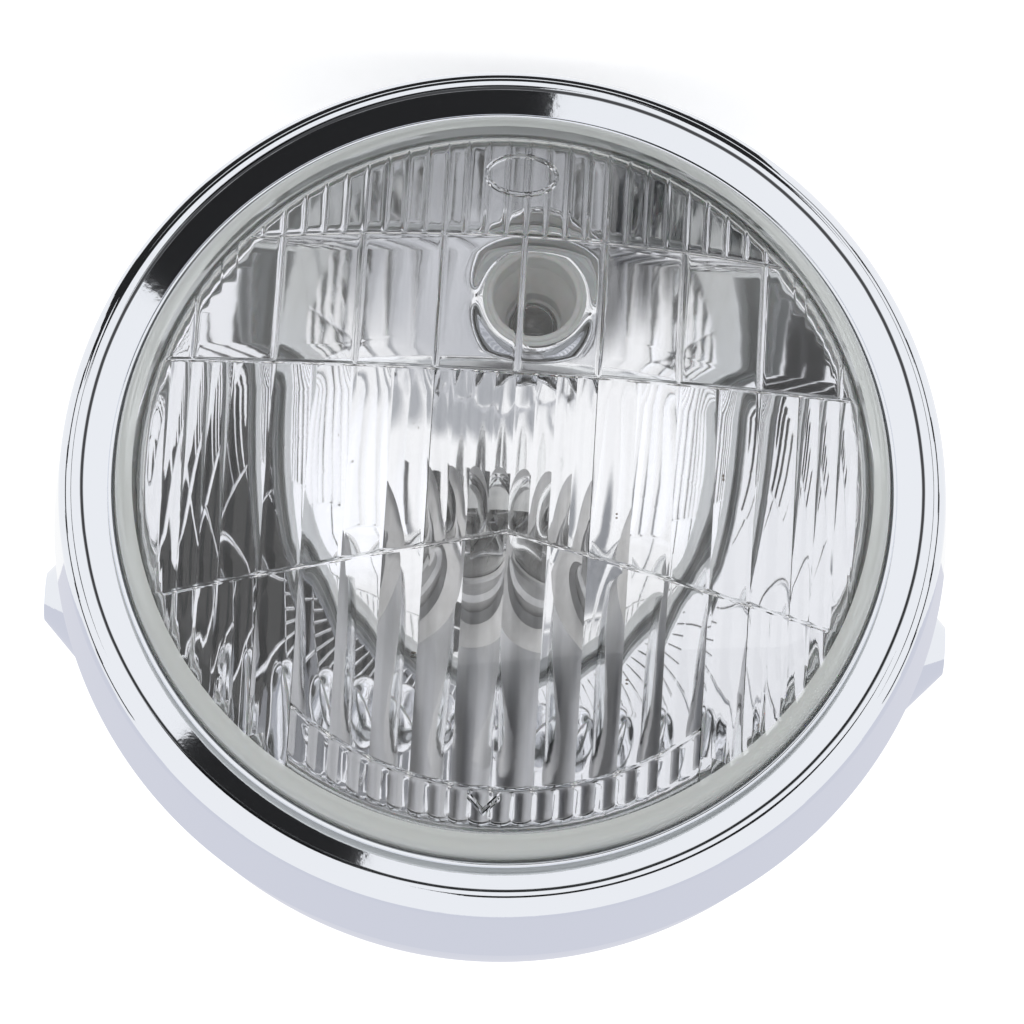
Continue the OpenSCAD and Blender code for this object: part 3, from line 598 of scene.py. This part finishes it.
lens.data.polygons.foreach_get("center", middles)
far_out = np.hypot(middles[0::3], middles[2::3]) > CLEAR_R / 1000
lens.data.polygons.foreach_set("material_index", far_out.astype(np.int32))
print(far_out.sum(), "faces of the edge")

# %% [markdown]
# ## Reflector
# The reflector is pressed from sheet steel, lacquered and coated with aluminium in a vacuum. The bowl is
# a paraboloid: height grows with the square of the radius, so that light from the focus leaves straight
# ahead. It has two holes, the bulb's neck in the middle and a flat seat for the pilot bulb. Two nets of
# spokes, one around each hole, meet along a straight chord, so one closed net follows both holes.

# %% Reflector
FOCAL, VERTEX = 28.0, -56.76
BOWL_R, BOWL_EDGE = 74.0, -7.87
MIRROR_FRONT, MIRROR_T, MIRROR_FLANGE_R = -7.27, 0.8, 82.2
NECK_R, NECK_BACK, NECK_FLANGE_R = 19.5, -58.67, 25.0
PILOT, SEAT_R, HOLE_R, COLLAR = np.array([-4.1, -50.2]), 12.5, 9.2, 5.9
CHORD_Y = -26.0


def bowl(plan):
    """Height of the paraboloid over points (x, up): vertex + r^2 / (4 focal)."""
    return VERTEX + (plan ** 2).sum(-1) / (4 * FOCAL)


SEAT_H = bowl(PILOT)


def with_height(plan, ahead):
    """Points (x, up) with their heights, in the frame."""
    return in_frame(plan[..., 0], plan[..., 1], ahead)


def spokes(inner_ring, outer_ring, steps):
    """Straight spokes between two rings: inner + (outer - inner) t, with t even from 0 to 1."""
    t = np.linspace(0, 1, steps)[:, None, None]
    return inner_ring + (outer_ring - inner_ring) * t


def ring(directions, radius, centre=(0, 0)):
    """A ring of a radius around a centre, along the directions."""
    return np.array(centre) + radius * directions


corner = math.degrees(math.asin(-CHORD_Y / BOWL_R))
upper = arc((0, 0), BOWL_R, -corner, 180 + corner, 341)
lower = arc((0, 0), BOWL_R, 180 + corner, 360 - corner, 181)
across = np.stack([np.linspace(upper[-1, 0], upper[0, 0], 141), np.full(141, CHORD_Y)], -1)
neck_outer = np.concatenate([upper[:-1], across[:-1]])
pilot_outer = np.concatenate([lower[:-1], across[::-1][:-1]])

neck_way = neck_outer / np.linalg.norm(neck_outer, axis=1)[:, None]
pilot_way = pilot_outer - PILOT
pilot_way /= np.linalg.norm(pilot_way, axis=1)[:, None]

bowl_net = spokes(ring(neck_way, NECK_R), neck_outer, 42)
neck_rings = [(NECK_R, NECK_BACK), (NECK_R + 0.4, NECK_BACK - 0.02), (NECK_FLANGE_R, NECK_BACK - 0.02)]
neck_tube = np.stack([with_height(ring(neck_way, r), h) for r, h in neck_rings[::-1]] +
                     [with_height(ring(neck_way, NECK_R), bowl(ring(neck_way, NECK_R)) - 0.2)])
bowl_points = np.concatenate([neck_tube, with_height(bowl_net, bowl(bowl_net))])

# the pilot bulb's seat: from the bowl over a rounded edge to the flat, a cubic curve on each spoke
t = np.linspace(0, 1, 14)[:, None]
start_r, turn_r, foot_r = SEAT_R + 1.6, SEAT_R - 0.1, SEAT_R - 1.8
weights = [(1 - t) ** 3, 3 * t * (1 - t) ** 2, 3 * t ** 2 * (1 - t), t ** 3]
seat_radius = weights[0] * start_r + weights[1] * turn_r + weights[2] * turn_r + weights[3] * foot_r
at_start = bowl(ring(pilot_way, start_r, PILOT))
at_turn = bowl(ring(pilot_way, turn_r, PILOT))
seat_height = weights[0] * at_start + weights[1] * at_turn + (weights[2] + weights[3]) * SEAT_H
seat_plan = PILOT + seat_radius[:, :, None] * pilot_way
seat_points = with_height(seat_plan, seat_height)[::-1]
collar = np.stack([with_height(ring(pilot_way, HOLE_R + r, PILOT), SEAT_H - h + 0 * at_start)
                   for r, h in [(0, COLLAR), (0, 0.9), (0.1, 0.4), (0.4, 0.1), (0.9, 0)]])
pilot_net = spokes(ring(pilot_way, start_r, PILOT), pilot_outer, 26)[1:]
pilot_points = np.concatenate([collar, seat_points, with_height(pilot_net, bowl(pilot_net))])

rim_way = np.concatenate([upper[:-1], lower[:-1]]) / BOWL_R
flange_points = np.stack([
    with_height(rim_way * r, h + 0 * rim_way[:, 0])
    for r, h in [(BOWL_R, BOWL_EDGE), (BOWL_R + 0.6, MIRROR_FRONT), (BOWL_R + 1, MIRROR_FRONT),
                 (MIRROR_FLANGE_R, MIRROR_FRONT)]
])
nets = [(p.reshape(-1, 3), grid_quads(*p.shape[:2], False, True)) for p in (bowl_points, pilot_points)]
flange_net = (flange_points.reshape(-1, 3), grid_quads(*flange_points.shape[:2], False, True))
print("spokes:", len(neck_way), "and", len(pilot_way))

reflector = piece("reflector_bowl", *join(*(facing(n, AHEAD) for n in nets + [flange_net])),
                  mirror, "aluminised_mirror", ["reflector"], skin=AHEAD)
wall = reflector.modifiers.new("sheet", "SOLIDIFY")
wall.thickness, wall.offset = MIRROR_T / 1000, -1

# %% [markdown]
# ## Pilot bulb's holder
# The soft white holder lines the seat's hole and ends in a small lip on the mirror side, the white ring
# that shows around the pilot bulb.

# %% Lip of the pilot bulb's holder
LIP_IN, LIP_ROUND, LIP_OUT, TUBE_OUT, CLEARANCE = 8.5, 0.7, 10.6, 9.17, 0.03
lip = np.concatenate([
    [[LIP_IN, SEAT_H - COLLAR], [LIP_IN, SEAT_H + 0.2]],
    arc((LIP_IN + LIP_ROUND, SEAT_H + 0.25), LIP_ROUND, 180, 20, 12),
    [[LIP_OUT - 0.15, SEAT_H + 0.45], [LIP_OUT, SEAT_H + 0.3], [LIP_OUT, SEAT_H + CLEARANCE],
     [TUBE_OUT, SEAT_H + CLEARANCE], [TUBE_OUT, SEAT_H - COLLAR]],
])
piece("pilot_holder_lip", *turned(held_flat(lip), 96, centre=PILOT), silicone, "white_silicone")

# %% [markdown]
# ## Filaments
# Each filament is tungsten wire wound into a close coil, whose axis lies along the lamp's. The driving
# beam's coil is in the focus, and the town beam's coil ahead of it, over the shield.

# %% Two coils
FOCUS, COIL_R, COIL_LEN, WIRE_R, TURNS = VERTEX + FOCAL, 0.7, 5.0, 0.11, 13
COIL_GAP, COIL_UP = 0.7, 1.0


def coil(up_, ahead):
    """A coiled tube: c(t) = (R cos 2 pi n t, R sin 2 pi n t, L (t - 1/2)), with a round section of radius w
    across it."""
    t, b = np.linspace(0, 1, TURNS * 20)[:, None], np.linspace(0, 2 * np.pi, 8, endpoint=False)
    a = 2 * np.pi * TURNS * t
    out = COIL_R - WIRE_R + WIRE_R * np.cos(b)
    along = ahead + COIL_LEN * (t - 0.5) + WIRE_R * np.sin(b)
    points = in_frame(out * np.cos(a), up_ + out * np.sin(a), along)
    ends = np.stack([points[0].mean(0), points[-1].mean(0)])[:, None] + 0 * points[:2]
    points = np.concatenate([ends[:1], points, ends[1:]])
    return points.reshape(-1, 3), grid_quads(*points.shape[:2], False, True)


piece("filament_coils", *join(coil(0, FOCUS), coil(COIL_UP, FOCUS + COIL_LEN + COIL_GAP)),
      tungsten, "tungsten_wire", ["bulb_filaments"], crease=60)

# %% [markdown]
# ## Bucket
# The bucket is spun from one steel disc: a short straight wall that slides into the rim, and a round back
# with a flat for the wiring grommet. On such a mirror every flat facet would show, so it is turned in
# fine steps, and the holes for the side bolts, the rim's screw and the drain are drilled with a Boolean
# modifier.

# %% Bucket with its holes
MOUTH, BUCKET_T, PLAY = 15.0, 1.0, 0.3
BUCKET_R = skirt_r(MOUTH) - RIM_T / COS_FLARE - PLAY
STRAIGHT_END, BACK, FLAT_R, HOLE = -30.0, -118.465, 30.0, 12.0
BACK_ANGLE = math.acos(FLAT_R / BUCKET_R)
SWEEP = (STRAIGHT_END - BACK) / math.sin(BACK_ANGLE)


def back_curve(inset):
    """The round back: ((R - t) cos a, start - (S - t) sin a), with a from 0 to the edge of the flat."""
    a = np.linspace(0, BACK_ANGLE, 72)
    return np.stack([(BUCKET_R - inset) * np.cos(a), STRAIGHT_END - (SWEEP - inset) * np.sin(a)], -1)


outside, inside = back_curve(0), back_curve(BUCKET_T)
shell = np.concatenate([
    held_flat(np.array([[BUCKET_R, -MOUTH], outside[0]]))[:-1], outside,
    [outside[-1] - [0.1, 0], [HOLE, BACK], [HOLE, inside[-1, 1]], inside[-1] - [0.1, 0]],
    inside[::-1], [[BUCKET_R - BUCKET_T, -MOUTH - 0.05], [BUCKET_R - BUCKET_T, -MOUTH]],
])
bucket = piece("bucket_bowl", *turned(shell, 300), chrome, "chromed_steel", ["bucket"])


def drill(made, start, end, radius):
    """Cuts a round hole of a radius in mm between two points (x, up, ahead) through a piece."""
    from mathutils import Vector
    a, b = (Vector(in_frame(*point)) for point in (start, end))
    shape = bmesh.new()
    bmesh.ops.create_cone(shape, cap_ends=True, segments=64, radius1=radius / 1000, radius2=radius / 1000,
                          depth=(b - a).length)
    shape.transform((b - a).to_track_quat("Z", "Y").to_matrix().to_4x4())
    bmesh.ops.translate(shape, verts=shape.verts, vec=(a + b) / 2)
    mesh = bpy.data.meshes.new("drill")
    shape.to_mesh(mesh)
    shape.free()
    bit = bpy.data.objects.new("drill", mesh)
    bpy.context.scene.collection.objects.link(bit)
    cut = made.modifiers.new("hole", "BOOLEAN")
    cut.object, cut.operation, cut.solver = bit, "DIFFERENCE", "EXACT"
    solid = bpy.data.meshes.new_from_object(made.evaluated_get(bpy.context.evaluated_depsgraph_get()))
    made.modifiers.clear()
    made.data = solid
    bpy.data.objects.remove(bit)


BOLT_UP, BOLT_AHEAD, BOLT_HOLE = 11, -63, 3.4
SCREW_AHEAD, SCREW_HOLE, DRAIN_AHEAD, DRAIN_HOLE = -20, 2.8, -45, 2.5
NEAR, FAR = 60, 110
drill(bucket, (-FAR, BOLT_UP, BOLT_AHEAD), (-NEAR, BOLT_UP, BOLT_AHEAD), BOLT_HOLE)
drill(bucket, (NEAR, BOLT_UP, BOLT_AHEAD), (FAR, BOLT_UP, BOLT_AHEAD), BOLT_HOLE)
drill(bucket, (0, -NEAR, SCREW_AHEAD), (0, -FAR, SCREW_AHEAD), SCREW_HOLE)
drill(bucket, (0, -NEAR, DRAIN_AHEAD), (0, -FAR, DRAIN_AHEAD), DRAIN_HOLE)
bucket.data.set_sharp_from_angle(angle=math.radians(30))
print("bucket", len(bucket.data.polygons), "faces")

# %% [markdown]
# ## The studio
# The lamp stands on a white floor in even light. Metal shows what it reflects, so the studio also has dark
# cards that only reflections can see.

# %% Floor, cards and light
FLOOR_Z, FLOOR_HALF = cad_box[0][2], 6
FLOOR_GLOW, SKY_LOW, SKY_FULL = 0.5, 0.75, 1.0


def stage_sheet(name, points, material, quads=((0, 1, 2, 3),)):
    """A sheet of the studio, flat through four corners unless quads are given."""
    mesh = bpy.data.meshes.new(name)
    mesh.from_pydata(points, [], quads)
    mesh.materials.append(material)
    made = bpy.data.objects.new(name, mesh)
    bpy.context.scene.collection.objects.link(made)
    made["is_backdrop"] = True
    return made


def seen_by_picture(tree):
    """1 for rays of the camera, of reflections and of refractions, and 0 for the rays that only light
    things."""
    rays = add(tree, "ShaderNodeLightPath").outputs
    direct = math_node(tree, "MAXIMUM", rays["Is Camera Ray"], rays["Is Glossy Ray"])
    return math_node(tree, "MAXIMUM", direct, rays["Is Transmission Ray"])


white_paper, tree, shader = finish_of(
    "white_background_paper", Base_Color=linear("#f4f4f4"), Roughness=0.9, Emission_Color=(1, 1, 1, 1))
lift = math_node(tree, "MULTIPLY", seen_by_picture(tree), FLOOR_GLOW)
tree.links.new(lift, shader.inputs["Emission Strength"])
floor = stage_sheet(
    "floor", [(FLOOR_HALF * a, FLOOR_HALF * b, FLOOR_Z) for a, b in ((-1, -1), (1, -1), (1, 1), (-1, 1))],
    white_paper)

world = bpy.data.worlds.new("studio")
bpy.context.scene.world = world
world.use_nodes = True
tree = world.node_tree
background = next(n for n in tree.nodes if n.type == "BACKGROUND")
level = add(tree, "ShaderNodeMapRange", {"Value": seen_by_picture(tree)}, To_Min=SKY_LOW, To_Max=SKY_FULL)
tree.links.new(level.outputs["Result"], background.inputs["Strength"])
background.inputs["Color"].default_value = (1, 1, 1, 1)

# %% [markdown]
# ## The camera
# The picture is taken from in front and above, from about 1.2 m, with the lamp hung upside down, so the
# camera is rolled by half a turn.

# %% Camera
ELEVATION, DISTANCE = math.radians(17.3), 1.2
PIXEL, PICTURE, SENSOR = 0.1975e-3, 1024, 36
# the camera's roll as cosine and sine, and its shift to the right and down in pixels
ROLL_COS, ROLL_SIN = -0.998, -0.061
SHIFT_RIGHT, SHIFT_DOWN = 9, 31
RING_CENTRE = np.array([0, RING_Y / 1000, 0])
sight = np.array([0, math.cos(ELEVATION), -math.sin(ELEVATION)])
level_right = np.array([1.0, 0, 0])
level_up = np.array([0, math.sin(ELEVATION), math.cos(ELEVATION)])
right = ROLL_COS * level_right + ROLL_SIN * level_up
up = -ROLL_SIN * level_right + ROLL_COS * level_up
eye = RING_CENTRE - sight * DISTANCE + right * SHIFT_RIGHT * PIXEL - up * SHIFT_DOWN * PIXEL
camera = bpy.data.objects.new("camera", bpy.data.cameras.new("camera"))
bpy.context.scene.collection.objects.link(camera)
camera.data.sensor_width = SENSOR
camera.data.lens = SENSOR * DISTANCE / (PICTURE * PIXEL)
camera.data.clip_start, camera.data.clip_end = 0.05, 50


def aim(owner, across, upwards, towards, place):
    """Sets an object's turn from its three axes and its place."""
    from mathutils import Matrix
    turn = Matrix([list(v) for v in np.stack([across, upwards, towards], 1)]).to_4x4()
    owner.matrix_world = Matrix.Translation(place) @ turn


aim(camera, right / np.linalg.norm(right), up / np.linalg.norm(up), -sight, eye)
bpy.context.scene.camera = camera
bpy.context.scene.view_settings.view_transform = "Standard"
print("lens", round(camera.data.lens, 1), "mm")

# %% Dark cards that only reflections see
card_black, tree, shader = finish_of("black_card", Base_Color=linear("#0b0b0c"), Roughness=0.8)


def card(name, x_range, y_range, distance):
    """A card square to the camera's way, at a distance from the lamp, over a range of directions as the
    camera sees them."""
    corners = []
    for a, b in ((0, 0), (1, 0), (1, 1), (0, 1)):
        sx, sy = x_range[a], y_range[b]
        way = right * sx - up * sy - sight * math.sqrt(max(0.02, 1 - sx ** 2 - sy ** 2))
        corners.append(tuple(RING_CENTRE + way * distance))
    made = stage_sheet(name, corners, card_black)
    made.visible_camera = made.visible_diffuse = made.visible_shadow = False


card("card_right", (-0.02, 0.47), (-0.36, 0.02), 2.0)
card("card_top", (0.15, 0.42), (-0.91, -0.75), 2.0)
floor.visible_glossy = floor.visible_transmission = False

# %% [markdown]
# A reflector shows the room in front of it, bent by the flutes. In the room stand two white soft boxes,
# one to each side, with greyer walls, a dark corner and the camera's stand between them. Each is a patch
# on a large ball around the lamp with soft edges, and only rays that have passed through glass can see
# it. The chrome outside has its own cards: dark sectors around the lamp, and grey ones below it.

# %% Soft patches of the room


def room_way(across, down):
    """Directions whose angles to the right and down, as the camera sees them, are given in degrees."""
    turn = np.radians(np.hypot(across, down))[..., None] + 1e-9
    flat = right / np.linalg.norm(right) * np.radians(across)[..., None] - up * np.radians(down)[..., None]
    return -sight * np.cos(turn) + flat * np.sin(turn) / turn


def room_sheet(name, points, material, seen_in, closed=False):
    """A net of the room's points, closed around or not, seen only in "glass" (rays that have passed through
    it) or in "chrome" (reflections)."""
    quads = grid_quads(*points.shape[:2], False, closed).tolist()
    made = stage_sheet(name, points.reshape(-1, 3).tolist(), material, quads)
    made.visible_camera = made.visible_diffuse = made.visible_shadow = False
    made.visible_glossy, made.visible_transmission = seen_in == "chrome", seen_in == "glass"
    return made


def sector(name, angles, azimuths, material, distance=2.4):
    """A sector of the room for the chrome: angles from the camera's axis by azimuths, clockwise from the
    right."""
    turn, azimuth = np.meshgrid(
        np.linspace(*angles, 12), np.radians(np.linspace(*azimuths, 40)), indexing="ij")
    way = room_way(turn * np.cos(azimuth), turn * np.sin(azimuth))
    room_sheet(name, RING_CENTRE + distance * way, material, "chrome")


card_grey, tree, shader = finish_of(
    "grey_card", Base_Color=linear("#000000"), Roughness=0.8, Emission_Color=linear("#dcdde6"),
    Emission_Strength=0.98)
card_grey.cycles.emission_sampling = "NONE"
sector("dark_over", (72, 116), (218, 300), card_black)
sector("dark_left", (84, 91), (160, 218), card_black)
sector("dark_right", (84, 91), (300, 375), card_black)
sector("room_below", (104, 178), (8, 172), card_grey, 2.8)


def patch(name, middle, half, colour, level, distance, soft=0.45):
    """An oval patch of the room: middle + half rho (cos a, sin a) in degrees, lit evenly, fading out over
    its edge."""
    light, tree, shader = finish_of(name + "_light")
    tree.nodes.remove(shader)
    output = next(n for n in tree.nodes if n.type == "OUTPUT_MATERIAL")
    at = add(tree, "ShaderNodeAttribute", attribute_name="from_middle")
    cover = add(tree, "ShaderNodeMapRange", {"Value": at.outputs["Fac"]}, interpolation_type="SMOOTHSTEP",
                From_Min=1.0, From_Max=1.0 - soft)
    glow = add(tree, "ShaderNodeEmission", Color=linear(colour), Strength=level)
    clear = add(tree, "ShaderNodeBsdfTransparent")
    mixed = add(tree, "ShaderNodeMixShader",
                {0: cover.outputs["Result"], 1: clear.outputs[0], 2: glow.outputs[0]})
    tree.links.new(mixed.outputs[0], output.inputs["Surface"])
    light.cycles.emission_sampling = "NONE"
    rho, a = np.linspace(0, 1, 13)[:, None], np.linspace(0, 2 * np.pi, 64, endpoint=False)
    across, down = middle[0] + half[0] * rho * np.cos(a), middle[1] + half[1] * rho * np.sin(a)
    made = room_sheet(name, RING_CENTRE + distance * room_way(across, down), light, "glass", closed=True)
    spread = made.data.attributes.new("from_middle", "FLOAT", "POINT")
    spread.data.foreach_set("value", np.broadcast_to(rho, across.shape).ravel().astype(np.float32))


patch("room_front", (3, 54), (60, 36), "#e8eaf0", 0.62, 2.6)
patch("soft_box_left", (-92, 0), (46, 62), "#fbfcff", 1.2, 2.5, 0.3)
patch("soft_box_right", (86, -8), (48, 56), "#fafbff", 1.2, 2.5, 0.3)
patch("room_low", (16, 22), (30, 12), "#dfe2e8", 0.52, 2.4)
patch("room_corner", (-34, 51), (24, 21), "#c8ccd6", 0.05, 2.3, 0.6)
patch("camera_stand", (21, -27), (17, 24), "#dcdfe6", 0.28, 2.2)
patch("stand_left", (-38, -32), (9, 36), "#e2e6ee", 0.30, 2.2)
patch("room_ceiling", (-5, -74), (36, 20), "#e6e8ee", 0.52, 2.3)

low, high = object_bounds()
